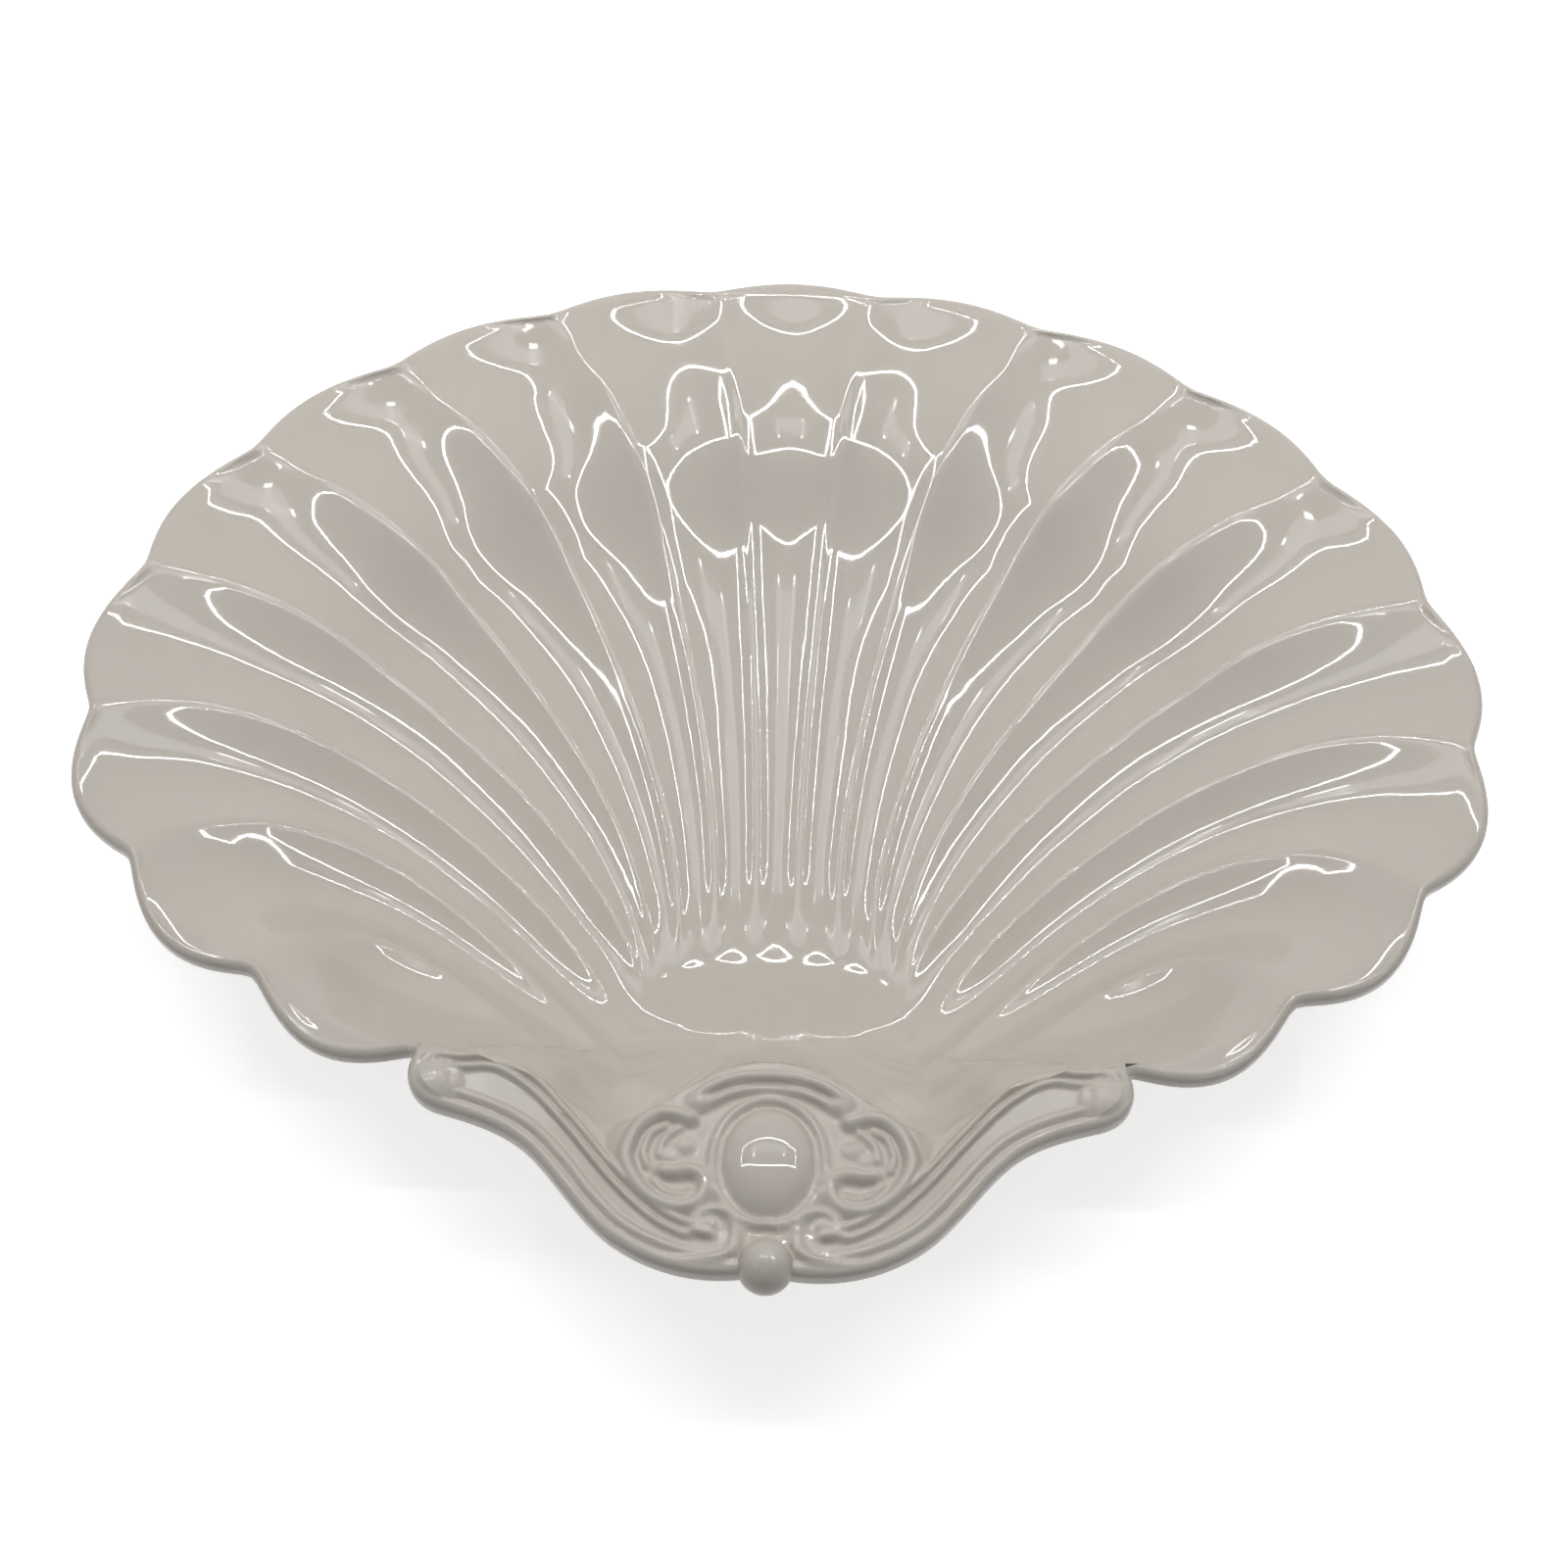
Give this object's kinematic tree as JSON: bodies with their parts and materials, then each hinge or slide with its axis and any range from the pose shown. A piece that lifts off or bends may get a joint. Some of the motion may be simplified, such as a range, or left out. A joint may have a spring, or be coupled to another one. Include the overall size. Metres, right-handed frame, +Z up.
{
  "type": "shell shaped platter",
  "caption": "Scallop shell platter in white glazed earthenware: flutes fan from an oval well to a scalloped rim, with a scrolled hinge plate, oval cabochon and round knob.",
  "frame": {"origin": "middle of the platter's length and depth, on the surface it stands on", "axes": "+Z up; +Y towards the back of the fan, away from the hinge and its knob; +X across, to the right when seen from the knob"},
  "size_m": [0.3616, 0.3044, 0.056],
  "materials": {
    "white_glaze": "clear gloss glaze over a warm white earthenware body"
  },
  "bodies": {
    "root": {"shell_platter": "white_glaze"}
  },
  "joints": []
}
